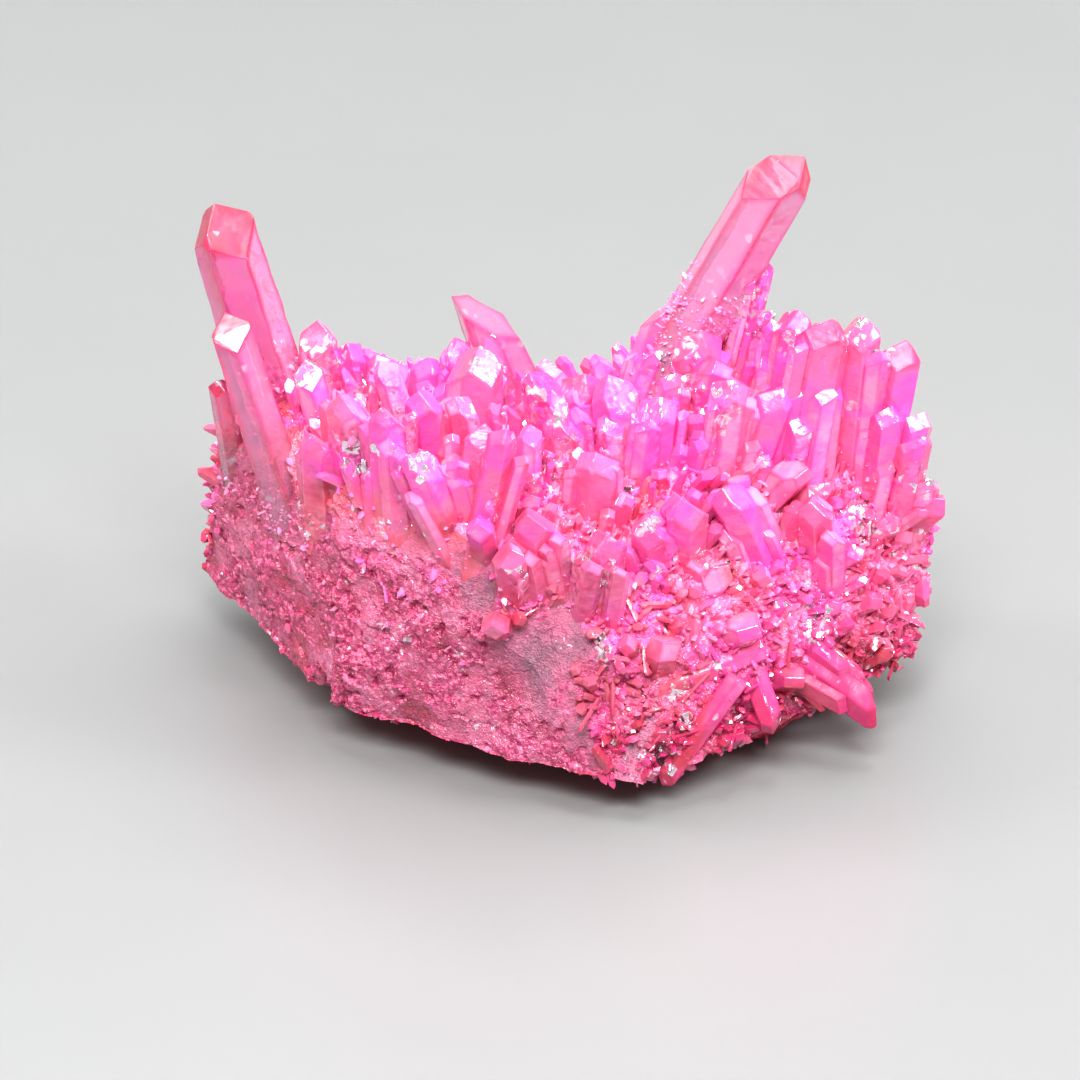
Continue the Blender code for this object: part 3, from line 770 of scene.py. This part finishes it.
# The edges are left less pale than the faces' middles: painted shade along edges.
painted_edge_shade = maths(tree, "MULTIPLY", attribute(tree, "edge"), -0.35)
paling = maths(tree, "MULTIPLY_ADD", attribute(tree, "tip"), -0.5, 0.56)
paling = maths(tree, "ADD", paling, painted_edge_shade, clamp=True)
tree.links.new(mix(tree, paling, coating["Color"], (1.0, 0.56, 0.90, 1.0)), surface.inputs["Base Color"])
tree.links.new(bumped(tree, lines, 0.07, 0.6), surface.inputs["Normal"])
surface.inputs["IOR"].default_value = QUARTZ_IOR
surface.inputs["Metallic"].default_value = 0.0
surface.inputs["Transmission Weight"].default_value = 0.75
surface.inputs["Coat Weight"].default_value = 0.2
surface.inputs["Coat IOR"].default_value = COATING_IOR
surface.inputs["Coat Roughness"].default_value = 0.03
absorb = node(tree, "ShaderNodeVolumeAbsorption", {"Color": (1.0, 0.45, 0.86, 1.0), "Density": 28.0})
tree.links.new(absorb.outputs[0], tree.nodes["Material Output"].inputs["Volume"])
clear_points.data.materials.append(clear_material)

milky_material, tree, surface = new_material("milky pink quartz")
place, coating, lines = point_looks(tree, surface, 0.10, 0.30)
tree.links.new(coating["Color"], surface.inputs["Base Color"])
tree.links.new(coating["Metallic"], surface.inputs["Metallic"])
crust = spread(tree, attribute(tree, "sparkle"), 0.1, 0.4, 0.12, 1.0)
crackle = use_group(tree, flat_facets, Vector=place, Cells_per_metre=1500.0)["Height"]
relief = maths(tree, "MULTIPLY_ADD", crackle, crust, maths(tree, "MULTIPLY", lines, 0.10))
tree.links.new(bumped(tree, relief, 0.45), surface.inputs["Normal"])
surface.inputs["IOR"].default_value = QUARTZ_IOR
surface.inputs["Specular IOR Level"].default_value = 0.4
surface.inputs["Transmission Weight"].default_value = 0.22
surface.inputs["Coat Weight"].default_value = 0.04
surface.inputs["Coat IOR"].default_value = COATING_IOR
surface.inputs["Coat Roughness"].default_value = 0.03
milky_points.data.materials.append(milky_material)
for points in (clear_points, milky_points):
    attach(points, "root")
    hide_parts("aura_quartz_cluster")

# The druse
# Thousands of tiny quartz crystals that grew over the rock between the points, in patches on its bare face and
# on the lower parts of the points. They are scattered by nodes with fixed seeds, then made one plain mesh for
# each surface that they grow on.
druse_material, tree, surface = new_material("druse")
place = node(tree, "ShaderNodeTexCoord").outputs
coating = use_group(
    tree, aura, Vector=place["Object"], Normal=place["Normal"], Drift=attribute(tree, "drift"),
    Sparkle=attribute(tree, "sparkle"), Shade=attribute(tree, "tone")
)
tree.links.new(coating["Color"], surface.inputs["Base Color"])
tree.links.new(coating["Metallic"], surface.inputs["Metallic"])
surface.inputs["Roughness"].default_value = 0.12
surface.inputs["IOR"].default_value = QUARTZ_IOR
surface.inputs["Specular IOR Level"].default_value = 0.8
surface.inputs["Coat Weight"].default_value = 0.12
surface.inputs["Coat IOR"].default_value = COATING_IOR
surface.inputs["Coat Roughness"].default_value = 0.04

# Each kind's length for a width of 1 mm, its taper, its flatness, and how its tip is cut: by three faces or two.
BY_THREE = (0.1, None, 0.0, None, 0.25, None)
BY_TWO = (0.1, None, 0.0, None, None, None)
kinds = bpy.data.collections.new("druse kinds")
for number, (length, taper, flatness, setbacks) in enumerate((
    (0.8, 0.9, 0.9, BY_THREE), (1.0, 0.85, 0.6, BY_TWO), (0.6, 0.95, 0.75, BY_THREE),
    (1.5, 0.8, 0.45, BY_TWO),
)):
    made = quartz_point(
        Vector((0, 0, -0.4)) * MM, Vector((0, 0, length)) * MM, 1.0 * MM, taper, 0.0, setbacks, flatness
    )
    for layer in POINT_LAYERS:
        made.verts.layers.float.remove(made.verts.layers.float[layer])
    kind_mesh = bpy.data.meshes.new("druse kind")
    kind_mesh.materials.append(druse_material)
    made.to_mesh(kind_mesh)
    made.free()
    kinds.objects.link(bpy.data.objects.new(f"druse_kind_{number}", kind_mesh))

# Spots on the surface, each kept by chance where its druse value is high, with a crystal of random kind, size,
# spin and lean on each, and a tone of its own.
druse_tree = bpy.data.node_groups.new("druse over a surface", "GeometryNodeTree")
druse_tree.interface.new_socket(name="Geometry", in_out="INPUT", socket_type="NodeSocketGeometry")
druse_inputs = {}
for label, kind in (
    ("Spots per square metre", "NodeSocketFloat"), ("Smallest", "NodeSocketFloat"),
    ("Largest", "NodeSocketFloat"), ("Seed", "NodeSocketInt"),
):
    made = druse_tree.interface.new_socket(name=label, in_out="INPUT", socket_type=kind)
    druse_inputs[label] = made.identifier
druse_tree.interface.new_socket(name="Geometry", in_out="OUTPUT", socket_type="NodeSocketGeometry")
given = druse_tree.nodes.new("NodeGroupInput").outputs
spots = node(
    druse_tree, "GeometryNodeDistributePointsOnFaces",
    {"Mesh": given["Geometry"], "Density": given["Spots per square metre"], "Seed": given["Seed"]},
    distribute_method="RANDOM",
)
covered = node(druse_tree, "GeometryNodeInputNamedAttribute", {"Name": "druse"}, data_type="FLOAT")


def random_share(seed, most=1.0):
    """A random number from 0 to this for each crystal."""
    draw = {2: 0.0, 3: most, "Seed": seed}
    return node(druse_tree, "FunctionNodeRandomValue", draw, data_type="FLOAT").outputs[1]


kept = node(
    druse_tree, "FunctionNodeCompare", {0: covered.outputs[0], 1: random_share(2)},
    data_type="FLOAT", operation="GREATER_THAN",
)
jitter = node(
    druse_tree, "FunctionNodeRandomValue", {0: (-0.6, -0.6, -0.4), 1: (0.6, 0.6, 0.8), "Seed": 4},
    data_type="FLOAT_VECTOR",
).outputs[0]
grown = node(
    druse_tree, "ShaderNodeVectorMath", {0: spots.outputs["Normal"], 1: jitter}, operation="ADD"
).outputs[0]
spin = node(druse_tree, "ShaderNodeCombineXYZ", {2: random_share(3, 6.28)}).outputs[0]
turned = node(druse_tree, "FunctionNodeEulerToRotation", {0: spin}).outputs[0]
turned = node(
    druse_tree, "FunctionNodeAlignRotationToVector", {"Rotation": turned, "Vector": grown}, axis="Z"
).outputs[0]
size = maths(druse_tree, "POWER", random_share(5), 3.0)
size = spread(druse_tree, size, 0.0, 1.0, given["Smallest"], given["Largest"])
source = node(
    druse_tree, "GeometryNodeCollectionInfo",
    {"Collection": kinds, "Separate Children": True, "Reset Children": True},
).outputs[0]
scattered = node(
    druse_tree, "GeometryNodeInstanceOnPoints",
    {"Points": spots.outputs["Points"], "Selection": kept.outputs[0], "Instance": source, "Pick Instance": True,
     "Rotation": turned, "Scale": size},
).outputs[0]
toned = node(
    druse_tree, "GeometryNodeStoreNamedAttribute",
    {"Geometry": scattered, "Name": "tone", "Value": random_share(7)}, data_type="FLOAT", domain="INSTANCE",
).outputs[0]
plain = node(druse_tree, "GeometryNodeRealizeInstances", {"Geometry": toned}).outputs[0]
shown = node(druse_tree, "GeometryNodeSetMaterial", {"Geometry": plain, "Material": druse_material})
druse_tree.links.new(shown.outputs[0], druse_tree.nodes.new("NodeGroupOutput").inputs[0])

# Spots per square metre, the smallest and largest crystals in millimetres of width, and the seed.
druse = []
for name, grown_on, density, smallest, largest, seed in (
    ("rock_druse", rock, 1.7e6, 0.35, 1.3, 11),
    ("clear_points_druse", clear_points, 2.4e6, 0.22, 0.7, 12),
    ("milky_points_druse", milky_points, 0.28e6, 0.25, 0.9, 14),
):
    made = bpy.data.objects.new(name, grown_on.data)
    scene.collection.objects.link(made)
    modifier = made.modifiers.new("druse", "NODES")
    modifier.node_group = druse_tree
    for label, value in zip(druse_inputs, (density, smallest, largest, seed)):
        modifier[druse_inputs[label]] = value
    plain = bpy.data.meshes.new_from_object(made.evaluated_get(bpy.context.evaluated_depsgraph_get()))
    made.modifiers.clear()
    made.data = plain
    druse.append(made)
for kind in list(kinds.objects):
    bpy.data.objects.remove(kind)
bpy.data.collections.remove(kinds)
for crystals in druse:
    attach(crystals, "root")
    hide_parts("aura_quartz_cluster")

# No corner of any piece lies outside the solid's own box.
for piece in (rock, clear_points, milky_points, *druse):
    for vert in piece.data.vertices:
        vert.co = [min(max(vert.co[axis], cad_box[0][axis]), cad_box[1][axis]) for axis in range(3)]

# The floor, the lights and the camera
# A plain pale floor, soft light from above and behind, small bright lamps for the glints, and a camera at
# the photo's angle of 33 degrees above level.
floor_mesh = bpy.data.meshes.new("floor")
floor_bm = bmesh.new()
bmesh.ops.create_grid(floor_bm, x_segments=2, y_segments=2, size=3.0)
floor_bm.to_mesh(floor_mesh)
floor_bm.free()
floor = bpy.data.objects.new("floor", floor_mesh)
scene.collection.objects.link(floor)

floor_material, tree, surface = new_material("pale floor")
place = node(tree, "ShaderNodeTexCoord").outputs["Object"]
cloud = noise_of(tree, place, 60.0, 3.0, 0.6)
pale = ramp(tree, cloud, (0.3, (0.168, 0.169, 0.168)), (0.7, (0.173, 0.174, 0.173)))
tree.links.new(pale, surface.inputs["Base Color"])
surface.inputs["Roughness"].default_value = 0.3
surface.inputs["Specular IOR Level"].default_value = 0.6
floor.data.materials.append(floor_material)

# Each lamp's place, the sides of its panel in metres, and its power in watts. All face the cluster.
LAMPS = {
    "overhead": ((0.1, 0.25, 0.75), (0.8, 0.5), 10.3),
    "front": ((0.02, -0.52, 0.85), (0.6, 0.3), 16.4),
    "left glint": ((-0.5, 0.12, 0.45), (0.14, 0.14), 2.4),
    "right glint": ((0.5, -0.1, 0.45), (0.14, 0.14), 2.9),
    "front glint": ((-0.05, -0.35, 0.75), (0.12, 0.12), 1.8),
    "top glint": ((0.05, 0.0, 0.75), (0.12, 0.12), 1.9),
}
lit = Vector((0.0, 0.0, 0.03))
for name, (place, sides, power) in LAMPS.items():
    lamp = bpy.data.lights.new(name, "AREA")
    lamp.shape = "RECTANGLE"
    lamp.size, lamp.size_y = sides
    lamp.energy = power
    panel = bpy.data.objects.new(name, lamp)
    panel.location = place
    panel.rotation_euler = (lit - Vector(place)).to_track_quat("-Z", "Y").to_euler()
    scene.collection.objects.link(panel)

world = bpy.data.worlds.new("studio")
scene.world = world
world.use_nodes = True
world.node_tree.nodes["Background"].inputs["Color"].default_value = (0.95, 0.97, 1.0, 1.0)
world.node_tree.nodes["Background"].inputs["Strength"].default_value = 0.48

CAMERA_DISTANCE = 0.60
WIDTH_SEEN = 0.1296
SENSOR_WIDTH = 36.0
elevation = math.radians(33.0)
aim = Vector((-3.7, 0.0, 24.0)) * MM
towards_viewer = Vector((0.0, -math.cos(elevation), math.sin(elevation)))
lens = bpy.data.cameras.new("camera")
lens.sensor_width = SENSOR_WIDTH
lens.lens = SENSOR_WIDTH * CAMERA_DISTANCE / WIDTH_SEEN
lens.clip_start = 0.01
camera = bpy.data.objects.new("camera", lens)
camera.location = aim + towards_viewer * CAMERA_DISTANCE
camera.rotation_euler = (-towards_viewer).to_track_quat("-Z", "Y").to_euler()
scene.collection.objects.link(camera)
scene.camera = camera
scene.view_settings.view_transform = "Standard"
scene.cycles.use_denoising = True
scene.cycles.max_bounces = 5
scene.cycles.diffuse_bounces = 3
scene.cycles.glossy_bounces = 2
scene.cycles.transmission_bounces = 4
scene.cycles.caustics_reflective = False
scene.cycles.sample_clamp_indirect = 4.0
scene.cycles.adaptive_threshold = 0.04
